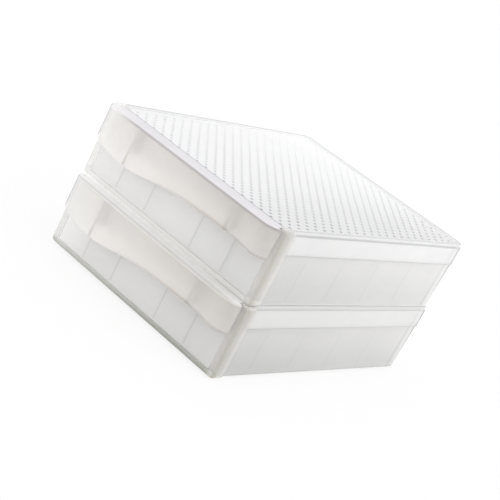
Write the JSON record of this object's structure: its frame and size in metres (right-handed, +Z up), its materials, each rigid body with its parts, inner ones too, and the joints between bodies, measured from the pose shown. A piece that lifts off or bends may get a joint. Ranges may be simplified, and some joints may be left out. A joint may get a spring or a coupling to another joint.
{
  "type": "fridge organizer",
  "caption": "Stacked frosted drawer boxes with dotted vented lids, wave-edged pull flaps and lift-out dividers, for sorting food on a fridge shelf.",
  "frame": {"origin": "middle of the footprint, on the shelf that the feet stand on", "axes": "+X to the right seen from the front, +Y to the back, +Z up; the drawers open towards -Y"},
  "size_m": [0.22, 0.305, 0.1419],
  "materials": {
    "frosted_housing": "satin frosted translucent",
    "frosted_frame": "satin frosted translucent",
    "frosted_lid": "satin frosted translucent",
    "frosted_panel": "satin frosted translucent, dotted",
    "frosted_drawer": "satin frosted translucent",
    "frosted_handle": "satin frosted translucent",
    "frosted_divider": "satin frosted translucent",
    "soft_foot": "soft matte"
  },
  "bodies": {
    "lower_unit": {"lower_housing": "frosted_housing", "lower_front_frame": "frosted_frame", "lower_feet": "soft_foot"},
    "lower_lid": {"lower_lid_frame": "frosted_lid", "lower_vent_panel": "frosted_panel"},
    "lower_tray": {"lower_drawer": "frosted_drawer", "lower_handle": "frosted_handle"},
    "lower_divider_1": {"lower_divider_1": "frosted_divider"},
    "lower_divider_2": {"lower_divider_2": "frosted_divider"},
    "lower_divider_3": {"lower_divider_3": "frosted_divider"},
    "lower_divider_4": {"lower_divider_4": "frosted_divider"},
    "upper_unit": {"upper_housing": "frosted_housing", "upper_front_frame": "frosted_frame", "upper_feet": "soft_foot"},
    "upper_lid": {"upper_lid_frame": "frosted_lid", "upper_vent_panel": "frosted_panel"},
    "upper_tray": {"upper_drawer": "frosted_drawer", "upper_handle": "frosted_handle"},
    "upper_divider_1": {"upper_divider_1": "frosted_divider"},
    "upper_divider_2": {"upper_divider_2": "frosted_divider"},
    "upper_divider_3": {"upper_divider_3": "frosted_divider"},
    "upper_divider_4": {"upper_divider_4": "frosted_divider"}
  },
  "joints": [
    {"name": "lower_drawer_slide", "type": "slide", "parent": "lower_unit", "child": "lower_tray", "axis": [0, -1, 0], "range_m": [0, 0.2]},
    {"name": "lower_lid_lift", "type": "slide", "parent": "lower_unit", "child": "lower_lid", "axis": [0, 0, 1], "range_m": [0, 0.06]},
    {"name": "upper_unit_lift", "type": "slide", "parent": "lower_lid", "child": "upper_unit", "axis": [0, 0, 1], "range_m": [0, 0.06]},
    {"name": "upper_drawer_slide", "type": "slide", "parent": "upper_unit", "child": "upper_tray", "axis": [0, -1, 0], "range_m": [0, 0.2]},
    {"name": "upper_lid_lift", "type": "slide", "parent": "upper_unit", "child": "upper_lid", "axis": [0, 0, 1], "range_m": [0, 0.06]},
    {"name": "lower_divider_1_lift", "type": "slide", "parent": "lower_tray", "child": "lower_divider_1", "axis": [0, 0, 1], "range_m": [0, 0.014]},
    {"name": "lower_divider_2_lift", "type": "slide", "parent": "lower_tray", "child": "lower_divider_2", "axis": [0, 0, 1], "range_m": [0, 0.014]},
    {"name": "lower_divider_3_lift", "type": "slide", "parent": "lower_tray", "child": "lower_divider_3", "axis": [0, 0, 1], "range_m": [0, 0.014]},
    {"name": "lower_divider_4_lift", "type": "slide", "parent": "lower_tray", "child": "lower_divider_4", "axis": [0, 0, 1], "range_m": [0, 0.014]},
    {"name": "upper_divider_1_lift", "type": "slide", "parent": "upper_tray", "child": "upper_divider_1", "axis": [0, 0, 1], "range_m": [0, 0.014]},
    {"name": "upper_divider_2_lift", "type": "slide", "parent": "upper_tray", "child": "upper_divider_2", "axis": [0, 0, 1], "range_m": [0, 0.014]},
    {"name": "upper_divider_3_lift", "type": "slide", "parent": "upper_tray", "child": "upper_divider_3", "axis": [0, 0, 1], "range_m": [0, 0.014]},
    {"name": "upper_divider_4_lift", "type": "slide", "parent": "upper_tray", "child": "upper_divider_4", "axis": [0, 0, 1], "range_m": [0, 0.014]}
  ]
}
